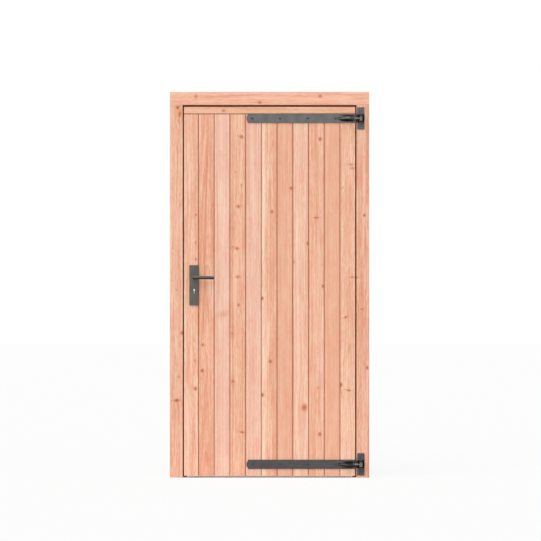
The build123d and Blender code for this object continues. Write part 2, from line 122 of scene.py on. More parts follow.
# Size of each of the wood's patterns, across and along the grain, in mm.
SLOW_WANDER = (150, 700)
QUICK_WANDER = (22, 160)
CLOUD_SIZE = (55, 260)
FIBRE_SIZE = (0.9, 45)
STRIPE_SIZE = (5, 240)
DASH_SIZE = (4.2, 32)
BLUSH_SIZE = (46, 95)
BAND_SIZE = (13, 1100)

# How much the lines wander at the quick waver's size, and how much it makes a knot uneven, in mm.
WAVER = 3.2
KNOT_UNEVENNESS = 2.4

# Out to how many of its radii a knot is solid, where it is gone, and within how many mm behind the door's front it
# fades.
KNOT_SOLID = 0.7
KNOT_GONE = 2.5
KNOT_DEPTH = 20
DOOR_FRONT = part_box("lock_post")[0].y / MM
FAR_FROM_KNOTS = 9.0

# Knots that are drawn out less than this along the grain have wings across it, flatter and starting farther out.
WINGED_STRETCH = 1.15
WING_FLATTENING = (0.42, 1, 1.15)
WING_START = 0.45

# How far from a knot the lines bend round it, across and along in its radii, and how far they move, in radii.
BEND_ACROSS = 2.6
BEND_ALONG = 6.5
BEND = 0.9

# The width of the rings changes over this many rings, and shifts the lines by this many.
RING_CHANGE = 2.7
RING_SHIFT = 2.2

# Streaks and painted hinge shadows run right through the depth of a piece.
ANY_DEPTH = 1e6


def along_grain(size):
    """Scale that draws a pattern out along the grain. size: across and along, in mm."""
    across, along = size
    return (1 / across, 1 / across, 1 / along)


def make_softwood(
    name,
    tones,
    pith,
    ring=3.0,
    lean=(0.0, 0.0),
    seed=0.0,
    contrast=1.0,
    drift=8.0,
    turn=0.0,
    cream=None,
    shaded_grooves=(),
    knots=(),
    streaks=(),
    hinge_shadows=(),
):
    """Wood of one piece. Sizes are mm. The grain runs along Z once the piece is turned by turn degrees about Y.

    tones: pale and deep hex colour.
    pith: where the tree's middle lies, across the piece and in its depth.
    ring: width of a growth ring.
    lean: how far the pith shifts across and in depth for each mm of length.
    seed: moves every pattern to another place in the tree.
    contrast: how strongly the patterns show.
    drift: how far the lines wander.
    cream: (place across, width of the change, how strong), where the tone turns paler on the lower side, or on the
    upper side where the strength is below 0.
    shaded_grooves: directions that the sides of a joint or a narrow gap face, which get painted shade there.
    knots: (across, along, radius, strength, stretch along the grain, tilt in degrees).
    streaks: (across, along, half width, half length, tilt in degrees, strength).
    hinge_shadows: (across, along, half width, half length), where a hinge's shadow is painted on the wood.
    """
    material, tree, surface = new_material(name)
    place = add_node(tree, "TexCoord", {}).outputs["Object"]
    grain = add_node(
        tree, "Mapping", {0: place, "Rotation": (0, math.radians(turn), 0), "Scale": (1000, 1000, 1000)}
    )
    shifted = add_node(tree, "VectorMath", {0: grain, 1: (seed * 211, seed * 97, seed * 1310)}, operation="ADD")

    # Slow wandering of the lines, and a finer waver on top of it.
    shifts = []
    for size in (SLOW_WANDER, QUICK_WANDER):
        drawn_out = add_node(tree, "VectorMath", {0: shifted, 1: along_grain(size)}, operation="MULTIPLY")
        wander = add_node(tree, "TexNoise", {"Vector": drawn_out, "Scale": 1.0, "Detail": 1.0}).outputs["Color"]
        shifts.append(add_node(tree, "VectorMath", {0: wander, 1: (-0.5, -0.5, -0.5)}, operation="ADD"))
    slow_shift, quick_shift = shifts
    slow_part = add_node(
        tree, "VectorMath", {0: slow_shift, 1: (drift * 2, drift * 2, 0), 2: grain}, operation="MULTIPLY_ADD"
    )
    wandering = add_node(
        tree, "VectorMath", {0: quick_shift, 1: (WAVER, WAVER, 0), 2: slow_part}, operation="MULTIPLY_ADD"
    )

    # Knots: how near each point is to the nearest one, and how far its lines are pushed aside.
    uneven = add_node(
        tree,
        "VectorMath",
        {0: quick_shift, 1: (KNOT_UNEVENNESS, 0, KNOT_UNEVENNESS), 2: grain},
        operation="MULTIPLY_ADD",
    )
    nearest = FAR_FROM_KNOTS
    knot_factor = 0.0
    push = 0.0
    for across, along, radius, strength, stretch, tilt in knots:
        local = add_node(
            tree,
            "Mapping",
            {
                0: uneven,
                "Location": (across, DOOR_FRONT, along),
                "Rotation": (0, math.radians(tilt), 0),
                "Scale": (radius, KNOT_DEPTH, radius * stretch),
            },
            vector_type="TEXTURE",
        )
        reach = add_node(tree, "VectorMath", {0: local}, operation="LENGTH").outputs["Value"]
        if stretch < WINGED_STRETCH:
            flattened = add_node(tree, "VectorMath", {0: local, 1: WING_FLATTENING}, operation="MULTIPLY")
            wings = add_node(tree, "VectorMath", {0: flattened}, operation="LENGTH").outputs["Value"]
            farther = add_node(tree, "Math", {0: wings, 1: WING_START}, operation="ADD")
            reach = add_node(tree, "Math", {0: reach, 1: farther}, operation="MINIMUM")
        wide = add_node(
            tree, "VectorMath", {0: local, 1: (1 / BEND_ACROSS, 0, 1 / BEND_ALONG)}, operation="MULTIPLY"
        )
        wide_square = add_node(tree, "VectorMath", {0: wide, 1: wide}, operation="DOT_PRODUCT").outputs["Value"]
        falling = add_node(tree, "Math", {0: wide_square, 1: -1.0}, operation="MULTIPLY")
        pull = add_node(tree, "Math", {0: falling}, operation="EXPONENT")
        side = add_node(tree, "SeparateXYZ", {0: local}).outputs["X"]
        pushed = add_node(tree, "Math", {0: side, 1: pull}, operation="MULTIPLY")
        push = add_node(tree, "Math", {0: pushed, 1: -BEND * radius, 2: push}, operation="MULTIPLY_ADD")
        share = add_node(
            tree,
            "MapRange",
            {"Value": reach, "From Min": KNOT_GONE, "From Max": KNOT_SOLID, "To Min": 0.0, "To Max": strength},
            interpolation_type="SMOOTHSTEP",
        )
        knot_factor = add_node(tree, "Math", {0: share, 1: knot_factor}, operation="MAXIMUM")
        nearest = add_node(tree, "Math", {0: reach, 1: nearest}, operation="MINIMUM")

    # Growth rings round the pith.
    parts = add_node(tree, "SeparateXYZ", {0: wandering})
    along_part = parts.outputs["Z"]
    leaning_x = add_node(
        tree, "Math", {0: along_part, 1: -lean[0], 2: parts.outputs["X"]}, operation="MULTIPLY_ADD"
    )
    leaning_y = add_node(
        tree, "Math", {0: along_part, 1: -lean[1], 2: parts.outputs["Y"]}, operation="MULTIPLY_ADD"
    )
    from_pith_x = add_node(tree, "Math", {0: leaning_x, 1: -pith[0]}, operation="ADD")
    pushed_x = add_node(tree, "Math", {0: from_pith_x, 1: push}, operation="ADD")
    from_pith_y = add_node(tree, "Math", {0: leaning_y, 1: -pith[1]}, operation="ADD")
    spoke = add_node(tree, "CombineXYZ", {0: pushed_x, 1: from_pith_y})
    radius_out = add_node(tree, "VectorMath", {0: spoke}, operation="LENGTH").outputs["Value"]
    ring_place = add_node(tree, "Math", {0: radius_out, 1: 1 / (ring * RING_CHANGE)}, operation="MULTIPLY")
    uneven_rings = add_node(
        tree, "TexNoise", {"W": ring_place, "Scale": 1.0, "Detail": 1.0}, noise_dimensions="1D"
    )
    counted = add_node(tree, "Math", {0: radius_out, 1: 1 / ring}, operation="MULTIPLY")
    phase = add_node(tree, "Math", {0: uneven_rings, 1: RING_SHIFT, 2: counted}, operation="MULTIPLY_ADD")
    ring_share = add_node(tree, "Math", {0: phase}, operation="FRACT")
    latewood = add_node(tree, "ValToRGB", {0: ring_share})
    set_ramp(
        latewood,
        (0.0, "303030"),
        (0.1, "000000"),
        (0.45, "1A1A1A"),
        (0.8, "B0B0B0"),
        (0.93, "FFFFFF"),
        (1.0, "505050"),
    )

    # Bands of tone over several rings, clouds, fibres, stripes and dashes along the grain, and a blush of colour.
    band_x = add_node(tree, "Math", {0: radius_out, 1: 1 / BAND_SIZE[0]}, operation="MULTIPLY")
    band_z = add_node(tree, "Math", {0: along_part, 1: 1 / BAND_SIZE[1]}, operation="MULTIPLY")
    band_place = add_node(tree, "CombineXYZ", {0: band_x, 1: seed * 3.7, 2: band_z})
    band = add_node(tree, "TexNoise", {"Vector": band_place, "Scale": 1.0, "Detail": 2.0, "Roughness": 0.6})
    patterns = []
    for vector, size, detail in (
        (shifted, CLOUD_SIZE, 2.0),
        (wandering, FIBRE_SIZE, 2.0),
        (wandering, STRIPE_SIZE, 1.0),
        (wandering, DASH_SIZE, 1.0),
        (shifted, BLUSH_SIZE, 2.0),
    ):
        drawn_out = add_node(tree, "VectorMath", {0: vector, 1: along_grain(size)}, operation="MULTIPLY")
        patterns.append(add_node(tree, "TexNoise", {"Vector": drawn_out, "Scale": 1.0, "Detail": detail}))
    cloud, fibre, stripe, dash, blush = patterns

    # How much each pattern deepens the tone.
    weights = ((band, 1.6), (cloud, 0.9), (fibre, 0.6), (stripe, 1.6), (dash, 1.3))
    depth = 0.5 - contrast * sum(weight for _, weight in weights) / 2
    for noise, weight in weights:
        depth = add_node(tree, "Math", {0: noise, 1: weight * contrast, 2: depth}, operation="MULTIPLY_ADD")
    if cream:
        edge, change, strength = cream
        across_place = add_node(tree, "SeparateXYZ", {0: slow_part}).outputs["X"]
        paler = add_node(
            tree,
            "MapRange",
            {
                "Value": across_place,
                "From Min": edge - change / 2,
                "From Max": edge + change / 2,
                "To Min": -strength,
                "To Max": strength,
            },
            interpolation_type="SMOOTHSTEP",
        )
        depth = add_node(tree, "Math", {0: depth, 1: paler}, operation="ADD")
    limited = add_node(tree, "Clamp", {0: depth})
    ground = add_node(
        tree, "Mix", {0: limited, 6: linear(tones[0]), 7: linear(tones[1])}, data_type="RGBA"
    ).outputs[2]
    blush_tone = add_node(tree, "ValToRGB", {0: blush})
    set_ramp(blush_tone, (0.36, CREAM_BLUSH), (0.64, PINK_BLUSH))
    blushed = add_node(tree, "Mix", {0: 0.16, 6: ground, 7: blush_tone}, data_type="RGBA").outputs[2]
    line_strength = add_node(
        tree,
        "MapRange",
        {"Value": band, "From Min": 0.3, "From Max": 0.7, "To Min": 0.1 * contrast, "To Max": 0.6 * contrast},
    )
    line_factor = add_node(tree, "Math", {0: latewood, 1: line_strength}, operation="MULTIPLY")
    lined = add_node(
        tree, "Mix", {0: line_factor, 6: blushed, 7: linear(LATEWOOD_TONE)}, data_type="RGBA"
    ).outputs[2]

    # Red streaks along the grain.
    streak_factor = 0.0
    for across, along, half_width, half_length, tilt, strength in streaks:
        local = add_node(
            tree,
            "Mapping",
            {
                0: wandering,
                "Location": (across, 0, along),
                "Rotation": (0, math.radians(tilt), 0),
                "Scale": (half_width, ANY_DEPTH, half_length),
            },
            vector_type="TEXTURE",
        )
        square = add_node(tree, "VectorMath", {0: local, 1: local}, operation="DOT_PRODUCT").outputs["Value"]
        falling = add_node(tree, "Math", {0: square, 1: -1.0}, operation="MULTIPLY")
        fading = add_node(tree, "Math", {0: falling}, operation="EXPONENT")
        streak_factor = add_node(
            tree, "Math", {0: fading, 1: strength, 2: streak_factor}, operation="MULTIPLY_ADD"
        )
    streak_lines = add_node(
        tree, "MapRange", {"Value": stripe, "From Min": 0.25, "From Max": 0.7, "To Min": 0.3, "To Max": 1.3}
    )
    streak_share = add_node(
        tree, "Math", {0: streak_factor, 1: streak_lines}, operation="MULTIPLY", use_clamp=True
    )
    streaked = add_node(
        tree, "Mix", {0: streak_share, 6: lined, 7: linear(STREAK_TONE)}, data_type="RGBA"
    ).outputs[2]

    # Knots over it, darkest at the heart and with a pale halo. The ramp reaches out to two radii.
    knot_place = add_node(tree, "Math", {0: nearest, 1: 0.5}, operation="MULTIPLY")
    knot_tone = add_node(tree, "ValToRGB", {0: knot_place})
    set_ramp(knot_tone, (0.0, KNOT_HEART), (0.2, KNOT_TONE), (0.46, KNOT_EDGE), (0.8, KNOT_HALO))
    knotted_and_shadowed = add_node(tree, "Mix", {0: knot_factor, 6: streaked, 7: knot_tone}, data_type="RGBA").outputs[2]

    # Painted shadows of the hinges beside them.
    for across, along, half_width, half_length in hinge_shadows:
        local = add_node(
            tree,
            "Mapping",
            {0: uneven, "Location": (across, 0, along), "Scale": (half_width, ANY_DEPTH, half_length)},
            vector_type="TEXTURE",
        )
        away = add_node(tree, "VectorMath", {0: local}, operation="LENGTH").outputs["Value"]
        hinge_shadow_factor = add_node(
            tree,
            "MapRange",
            {"Value": away, "From Min": 1.2, "From Max": 0.85, "To Min": 0.0, "To Max": 0.85},
            interpolation_type="SMOOTHSTEP",
        )
        knotted_and_shadowed = add_node(
            tree, "Mix", {0: hinge_shadow_factor, 6: knotted_and_shadowed, 7: linear(HINGE_SHADOW_TONE)}, data_type="RGBA"
        ).outputs[2]

    # Sawn ends are darker than the planed faces. The sides of the V joints and the faces in the gaps get painted
    # shade.
    normal = add_node(tree, "TexCoord", {}).outputs["Normal"]
    turned_normal = add_node(tree, "Mapping", {0: normal, "Rotation": (0, math.radians(turn), 0)})
    end_part = add_node(tree, "SeparateXYZ", {0: turned_normal}).outputs["Z"]
    end_size = add_node(tree, "Math", {0: end_part}, operation="ABSOLUTE")
    end_factor = add_node(
        tree, "MapRange", {"Value": end_size, "From Min": 0.75, "From Max": 0.95, "To Min": 0.0, "To Max": 0.35}
    )
    finished = add_node(
        tree, "Mix", {0: end_factor, 6: knotted_and_shadowed, 7: linear(SAWN_END_TONE)}, data_type="RGBA"
    ).outputs[2]
    for direction in shaded_grooves:
        likeness = add_node(
            tree, "VectorMath", {0: normal, 1: Vector(direction).normalized()}, operation="DOT_PRODUCT"
        ).outputs["Value"]
        groove_shade_factor = add_node(
            tree,
            "MapRange",
            {"Value": likeness, "From Min": 0.9, "From Max": 0.97, "To Min": 0.0, "To Max": 0.6},
        )
        finished = add_node(
            tree, "Mix", {0: groove_shade_factor, 6: finished, 7: linear(GROOVE_SHADE_TONE)}, data_type="RGBA"
        ).outputs[2]

    relief = add_node(tree, "Math", {0: latewood, 1: 0.5, 2: fibre}, operation="MULTIPLY_ADD")
    bump = add_node(tree, "Bump", {"Strength": 0.35, "Distance": 0.12 * MM, "Height": relief})
    rough = add_node(
        tree, "MapRange", {"Value": fibre, "From Min": 0.3, "From Max": 0.7, "To Min": 0.54, "To Max": 0.68}
    )
    # The narrow sides are sawn: only the planed faces have a sheen.
    facing = add_node(tree, "SeparateXYZ", {0: normal}).outputs["Y"]
    face_size = add_node(tree, "Math", {0: facing}, operation="ABSOLUTE")
    sheen = add_node(
        tree, "MapRange", {"Value": face_size, "From Min": 0.5, "From Max": 0.9, "To Min": 0.04, "To Max": 0.5}
    )
    tree.links.new(finished, surface.inputs["Base Color"])
    tree.links.new(rough.outputs[0], surface.inputs["Roughness"])
    tree.links.new(sheen.outputs[0], surface.inputs["Specular IOR Level"])
    tree.links.new(bump.outputs[0], surface.inputs["Normal"])
    surface.inputs["IOR"].default_value = 1.5
    return material


# Boards of the leaf, from the lock side. Knots and streaks are at (X, Z) mm.
leaf_boards = {
    "board_01": dict(
        tones=("FAD3BA", "E8A587"),
        pith=(-1150, 40),
        ring=3.4,
        seed=1,
        contrast=1.5,
        cream=(-975, 60, 0.28),
        knots=[
            (-951, 487, 7.2, 0.85, 1.2, 0),
            (-954, 639, 5.8, 0.42, 1.2, 0),
            (-957, 748, 4.6, 0.4, 1.6, 0),
            (-948, 1438, 3.6, 0.8, 1.6, 0),
            (-950, 1285, 3.6, 0.7, 2.2, 0),
            (-948, 1195, 3.8, 0.85, 1.6, 0),
        ],
        streaks=[(-949, 1245, 6, 70, 4, 0.5), (-944, 1800, 4, 60, 0, 0.3), (-952, 1600, 5, 500, 0, 0.25)],
    ),
    "board_02": dict(
        tones=("F7C6AD", "E19774"),
        pith=(-893, -14),
        lean=(0.006, 0.02),
        ring=5.0,
        seed=2,
        contrast=1.15,
        drift=14,
        knots=[(-913, 585, 7.2, 0.9, 1.2, 0), (-911, 726, 6.5, 0.8, 1.2, 0)],
        streaks=[
            (-895, 1500, 8, 480, 1, 0.75),
            (-900, 1120, 6, 160, -3, 0.55),
            (-912, 780, 5, 170, 2, 0.6),
            (-909, 640, 3, 50, 3, 0.5),
        ],
    ),
    "board_03": dict(
        tones=("F6D1BE", "EBB297"),
        pith=(-1010, 30),
        ring=5.2,
        seed=3,
        contrast=0.82,
        streaks=[(-806, 893, 34, 17, -18, 0.55), (-800, 1766, 30, 6, 0, 0.15), (-800, 1491, 30, 8, 0, 0.15)],
    ),
    "board_04": dict(
        tones=("F4C6AB", "E19E7C"),
        pith=(-640, 10),
        ring=3.2,
        seed=4,
        contrast=1.3,
        knots=[
            (-699, 1864, 8.6, 0.8, 1.0, 15),
            (-716, 1483, 7.2, 0.8, 1.1, 0),
            (-723, 1254, 7.0, 0.8, 1.1, 0),
            (-745, 1262, 5.0, 0.5, 1.2, 30),
            (-718, 1098, 7.2, 0.7, 1.1, 0),
            (-715, 945, 6.5, 0.7, 1.2, 0),
            (-749, 789, 6.0, 0.45, 1.2, 0),
            (-745, 527, 6.5, 0.7, 1.2, 0),
            (-696, 248, 9.0, 0.75, 0.6, 15),
            (-732, 1673, 5.1, 0.4, 1.2, 0),
            (-698, 1600, 5.1, 0.45, 1.2, 0),
        ],
    ),
    "board_05": dict(
        tones=("F5CDB9", "E8AB92"),
        pith=(-840, 45),
        ring=3.9,
        seed=5,
        contrast=0.9,
        streaks=[(-650, 857, 26, 10, 0, 0.2), (-640, 1713, 26, 8, 0, 0.18)],
    ),
    "board_06": dict(
        tones=("FBD9BE", "E39E7D"),
        pith=(-690, 20),
        ring=3.8,
        seed=6,
        contrast=1.0,
        cream=(-556, 30, 0.3),
        knots=[
            (-532, 1455, 7.2, 0.85, 1.2, 0),
            (-586, 981, 6.0, 0.95, 1.2, 0),
            (-540, 635, 7.5, 0.8, 1.3, 0),
            (-585, 452, 6.5, 0.95, 1.2, 0),
        ],
        streaks=[
            (-541, 1300, 3.5, 900, 0, 0.4),
            (-528, 700, 2.5, 600, 0, 0.2),
            (-556, 1000, 2.2, 1600, 0, 0.35),
            (-567, 1000, 2.4, 1600, 0, 0.4),
        ],
    ),
    "board_07": dict(
        tones=("EEBA9F", "E09B7A"),
        pith=(-300, 35),
        ring=2.8,
        seed=7,
        contrast=0.8,
        knots=[(-428, 1583, 7.2, 0.8, 1.2, 0)],
    ),
    "board_08": dict(
        tones=("F8D5BC", "E9AF94"),
        pith=(-520, 20),
        ring=3.2,
        seed=8,
        contrast=1.0,
        cream=(-385, 50, 0.14),
        knots=[
            (-413, 1180, 6.0, 0.45, 1.2, 0),
            (-336, 1281, 6.5, 0.8, 1.3, 0),
            (-355, 384, 12.3, 0.8, 1.25, 10),
        ],
    ),
    "board_09": dict(
        tones=("F4C5AB", "E39E7D"),
        pith=(-180, 15),
        ring=3.4,
        seed=9,
        contrast=1.1,
        cream=(-286, 20, -0.16),
        knots=[
            (-269, 1852, 7.2, 0.88, 1.2, 0),
            (-289, 1422, 9.0, 0.75, 0.6, 0),
            (-253, 1048, 6.5, 0.75, 1.2, 0),
            (-278, 493, 5.8, 0.4, 1.2, 0),
            (-270, 237, 7.2, 0.88, 1.3, 0),
        ],
    ),
    "board_10": dict(
        tones=("EEB89C", "E4A07F"),
        pith=(-60, 50),
        ring=2.6,
        seed=10,
        contrast=0.8,
    ),
    "board_11": dict(
        tones=("F8D0B6", "E7A888"),
        pith=(-118, 2),
        lean=(0.012, 0.016),
        ring=4.6,
        seed=11,
        contrast=1.2,
        drift=16,
        knots=[
            (-101, 1713, 12.0, 0.5, 0.5, 0),
            (-92, 1692, 9.0, 0.5, 0.7, 0),
            (-92, 1096, 9.5, 0.65, 0.5, 0),
            (-128, 878, 7.5, 0.8, 0.7, -25),
            (-157, 508, 8.0, 0.97, 1.2, 0),
            (-113, 478, 10.0, 0.75, 0.5, 8),
            (-144, 1587, 5.1, 0.4, 1.2, 0),
        ],
        streaks=[
            (-152, 478, 4, 45, -12, 0.6),
            (-116, 1022, 5, 45, 10, 0.45),
            (-132, 1100, 4, 500, 0, 0.3),
            (-113, 700, 2, 800, 0, 0.3),
            (-102, 900, 2, 600, 0, 0.25),
        ],
    ),
}
TO_LOCK_SIDE = (-1, -1, 0)
TO_HINGE_SIDE = (1, -1, 0)
TO_TOP = (0, -1, 1)
FRONT_FACE = (0, -1, 0)
node_materials = {}
for board, grain in leaf_boards.items():
    # The leaf's own two sides face a narrow gap, all the others a V joint. Both get painted shade.
    lock_side = (-1, 0, 0) if board == "board_01" else TO_LOCK_SIDE
    hinge_side = (1, 0, 0) if board == "board_11" else TO_HINGE_SIDE
    shaded_grooves = [TO_TOP, lock_side, hinge_side]
    node_materials[board] = make_softwood(f"planed_softwood_{board}", shaded_grooves=shaded_grooves, **grain)

# Frame timbers, and the rails, stiles and braces. A piece turned by 90 degrees has its knots and streaks at
# (Z, -X) mm.
timbers = {
    "lock_post": dict(
        tones=("F5C6AC", "DF9876"),
        pith=(-1200, 60),
        ring=3.6,
        seed=21,
        shaded_grooves=[(1, 0, 0)],
        contrast=1.3,
        knots=[
            (-1047, 2025, 7.6, 0.97, 1.2, 0),
            (-1036, 1988, 7.2, 0.8, 2.2, 10),
            (-1025, 791, 7.2, 0.8, 1.3, 0),
            (-1043, 551, 5.1, 0.6, 1.3, 0),
            (-1053, 422, 11.0, 0.95, 0.75, 0),
            (-1052, 1026, 5.1, 0.4, 1.2, 0),
            (-1033, 1491, 3.4, 0.35, 1.4, 0),
        ],
        streaks=[(-1045, 392, 4, 40, -15, 0.6), (-1070, 1200, 6, 600, 0, 0.3)],
    ),
    "hinge_post": dict(
        tones=("F4C4AB", "DC9777"),
        pith=(120, 40),
        ring=4.0,
        seed=22,
        shaded_grooves=[(-1, 0, 0)],
        contrast=1.4,
        knots=[
            (-26, 1435, 7.2, 0.75, 1.2, 0),
            (-67, 1094, 6.0, 0.6, 1.2, 0),
            (-40, 922, 8.5, 0.6, 0.6, -25),
            (-11, 601, 7.2, 0.85, 1.2, 0),
        ],
        streaks=[(-20, 1500, 4, 500, 0, 0.35), (-45, 700, 4, 500, 0, 0.3)],
        hinge_shadows=[(-69, 1965, 8, 23), (-69, 73, 8, 23)],
    ),
    "head_beam": dict(
        tones=("FCC9AF", "E8A484"),
        pith=(2010, 30),
        ring=3.4,
        seed=23,
        shaded_grooves=[(0, 0, -1)],
        contrast=1.3,
        turn=90,
        knots=[
            (2085, 948, 7.2, 0.75, 0.9, 0),
            (2052, 599, 7.2, 0.75, 1.2, 0),
            (2087, 269, 7.2, 0.75, 1.2, 0),
        ],
        streaks=[(2074, 48, 9, 50, 0, 0.5), (2088, 732, 3, 140, -3, 0.55), (2046, 420, 4, 400, 0, 0.25)],
    ),
    "top_rail": dict(
        tones=("F1BCA0", "DF9C79"),
        pith=(1900, 40),
        ring=3.2,
        seed=24,
        contrast=1.2,
        turn=90,
        shaded_grooves=[(0, -1, -1), (0, 0, 1)],
        knots=[(2008, 797, 6.5, 0.75, 1.2, 0)],
    ),
    "middle_rail": dict(tones=RAIL_TONES, pith=(960, 60), ring=3.4, seed=25, turn=90),
    "bottom_rail": dict(tones=RAIL_TONES, pith=(180, 70), ring=3.0, seed=26, turn=90),
    "hinge_stile": dict(tones=RAIL_TONES, pith=(-20, 60), ring=3.2, seed=27),
    "lock_stile": dict(tones=("F5C2A2", "DF9A74"), pith=(-1080, 50), ring=3.8, seed=28),
    "upper_brace": dict(tones=RAIL_TONES, pith=(800, 60), ring=3.4, seed=29, turn=41),
    "lower_brace": dict(tones=RAIL_TONES, pith=(100, 60), ring=3.6, seed=30, turn=43),
    "hinge_stop": dict(tones=STOP_SHADE_TONES, pith=(-40, 110), ring=2.8, seed=31, shaded_grooves=[FRONT_FACE]),
    "lock_stop": dict(tones=STOP_SHADE_TONES, pith=(-1100, 110), ring=2.8, seed=32, shaded_grooves=[FRONT_FACE]),
    "head_stop": dict(tones=STOP_SHADE_TONES, pith=(1980, 110), ring=2.8, seed=33, turn=90, shaded_grooves=[FRONT_FACE]),
}
for timber, grain in timbers.items():
    node_materials[timber] = make_softwood(f"planed_softwood_{timber}", **grain)


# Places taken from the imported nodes, in metres.
pin_low, pin_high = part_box("top_hinge_pin")
PIN_X = (pin_low.x + pin_high.x) / 2
PIN_Y = (pin_low.y + pin_high.y) / 2
eye_heights = {}
for hinge in ("top", "bottom"):
    low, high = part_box(f"{hinge}_eye_bolt")
    eye_heights[hinge] = (low.z + high.z) / 2

# Painted shade on the hinges and levers: black round the pins, beside the housings and eyes, and under the grips.
PAINTED_SHADE_TONE = "121413"
RUB_TONE = "9A9A98"
PIN_SHADE_REACH = 22.5 * MM
LOWER_SHADE_EDGE = 0.7 * MM
PATCH_SIZE = 38 * MM
RUB_LENGTH = 30 * MM
RUB_WIDTH = 2 * MM
DULL_GLOSS = 0.04
PATCH_SHADES = (0.82, 1.18)
GRIT_ROUGHNESS = 0.06


def make_dull_coat(
    name,
    tone,
    roughness,
    grit,
    scuffs,
    shaded_pin_at=None,
    shade_spots=(),
    shaded_below=None,
    gloss=0.5,
):
    """Coat on metal: powder, paint, old zinc or the crust on a weld, with a fine grained skin, paler rub marks and
    painted shade.

    grit: size of the skin's grain, in mm. scuffs: how strongly the rub marks show.
    shaded_pin_at: height of a hinge pin, in metres, round which the coat is painted black as shade.
    shade_spots: (X, Z, half width, half height, strength) mm, where the coat is painted dull and black as shade.
    shaded_below: height, in metres, below which a lever's grip is painted dull black as shade.
    gloss: specular level of the coat. Its painted shade is duller.
    """
    material, tree, surface = new_material(name)
    place = add_node(tree, "TexCoord", {}).outputs["Object"]
    grit_noise = add_node(
        tree, "TexNoise", {"Vector": place, "Scale": 1 / (grit * MM), "Detail": 2.0, "Roughness": 0.6}
    )
    patch = add_node(tree, "TexNoise", {"Vector": place, "Scale": 1 / PATCH_SIZE, "Detail": 3.0})
    drawn = add_node(
        tree,
        "Mapping",
        {0: place, "Rotation": (0.3, 0.5, 0.7), "Scale": (1 / RUB_LENGTH, 1 / RUB_WIDTH, 1 / RUB_WIDTH)},
    )
    rub = add_node(tree, "TexNoise", {"Vector": drawn, "Scale": 1.0, "Detail": 3.0})
    rub_factor = add_node(
        tree, "MapRange", {"Value": rub, "From Min": 0.62, "From Max": 0.74, "To Min": 0.0, "To Max": scuffs}
    )
    shade = add_node(
        tree, "MapRange", {"Value": patch, "From Min": 0.3, "From Max": 0.7, "To Min": 0.0, "To Max": 1.0}
    )
    darker, lighter = [(*[level * share for level in linear(tone)[:3]], 1) for share in PATCH_SHADES]
    ground = add_node(tree, "Mix", {0: shade, 6: darker, 7: lighter}, data_type="RGBA").outputs[2]
    rubbed_and_shaded = add_node(
        tree, "Mix", {0: rub_factor, 6: ground, 7: linear(RUB_TONE)}, data_type="RGBA"
    ).outputs[2]
    painted_shade_share = 0.0
    # Painted shade over each spot.
    for across, along, half_width, half_height, strength in shade_spots:
        local = add_node(
            tree,
            "Mapping",
            {
                0: place,
                "Location": (across * MM, 0, along * MM),
                "Scale": (half_width * MM, ANY_DEPTH, half_height * MM),
            },
            vector_type="TEXTURE",
        )
        away = add_node(tree, "VectorMath", {0: local}, operation="LENGTH").outputs["Value"]
        uneven_away = add_node(tree, "Math", {0: patch, 1: 0.3, 2: away}, operation="MULTIPLY_ADD")
        spot_shade = add_node(
            tree,
            "MapRange",
            {"Value": uneven_away, "From Min": 1.3, "From Max": 0.75, "To Min": 0.0, "To Max": strength},
            interpolation_type="SMOOTHSTEP",
        )
        painted_shade_share = add_node(tree, "Math", {0: spot_shade, 1: painted_shade_share}, operation="MAXIMUM")
    # Painted shade under the grip.
    if shaded_below:
        height = add_node(tree, "SeparateXYZ", {0: place}).outputs["Z"]
        lower_shade = add_node(
            tree,
            "MapRange",
            {
                "Value": height,
                "From Min": shaded_below + LOWER_SHADE_EDGE,
                "From Max": shaded_below - LOWER_SHADE_EDGE,
                "To Min": 0.0,
                "To Max": 0.97,
            },
        )
        painted_shade_share = add_node(tree, "Math", {0: lower_shade, 1: painted_shade_share}, operation="MAXIMUM")
    # Painted shade, black round the hinge pin and between the ears.
    if shaded_pin_at:
        round_pin = add_node(
            tree,
            "Mapping",
            {0: place, "Location": (PIN_X, 0, shaded_pin_at), "Scale": (PIN_SHADE_REACH, 1, PIN_SHADE_REACH)},
            vector_type="TEXTURE",
        )
        sides = add_node(tree, "VectorMath", {0: round_pin}, operation="ABSOLUTE")
        side_parts = add_node(tree, "SeparateXYZ", {0: sides})
        farther = add_node(
            tree, "Math", {0: side_parts.outputs["X"], 1: side_parts.outputs["Z"]}, operation="MAXIMUM"
        )
        uneven_reach = add_node(tree, "Math", {0: patch, 1: 0.2, 2: farther}, operation="MULTIPLY_ADD")
        pin_shade = add_node(
            tree,
            "MapRange",
            {"Value": uneven_reach, "From Min": 1.15, "From Max": 0.98, "To Min": 0.0, "To Max": 0.95},
        )
        painted_shade_share = add_node(tree, "Math", {0: pin_shade, 1: painted_shade_share}, operation="MAXIMUM")
    surface.inputs["Specular IOR Level"].default_value = gloss
    # All the painted shade is mixed in here, black and dull.
    if shaded_pin_at or shade_spots or shaded_below:
        rubbed_and_shaded = add_node(
            tree, "Mix", {0: painted_shade_share, 6: rubbed_and_shaded, 7: linear(PAINTED_SHADE_TONE)}, data_type="RGBA"
        ).outputs[2]
        dulled = add_node(
            tree,
            "MapRange",
            {"Value": painted_shade_share, "From Min": 0.0, "From Max": 1.0, "To Min": gloss, "To Max": DULL_GLOSS},
        )
        tree.links.new(dulled.outputs[0], surface.inputs["Specular IOR Level"])
    rough = add_node(
        tree,
        "MapRange",
        {
            "Value": grit_noise,
            "From Min": 0.3,
            "From Max": 0.7,
            "To Min": roughness - GRIT_ROUGHNESS,
            "To Max": roughness + GRIT_ROUGHNESS,
        },
    )
    bump = add_node(tree, "Bump", {"Strength": 0.5, "Distance": 0.08 * MM, "Height": grit_noise})
    tree.links.new(rubbed_and_shaded, surface.inputs["Base Color"])
    tree.links.new(rough.outputs[0], surface.inputs["Roughness"])
    tree.links.new(bump.outputs[0], surface.inputs["Normal"])
    surface.inputs["IOR"].default_value = 1.5
    return material
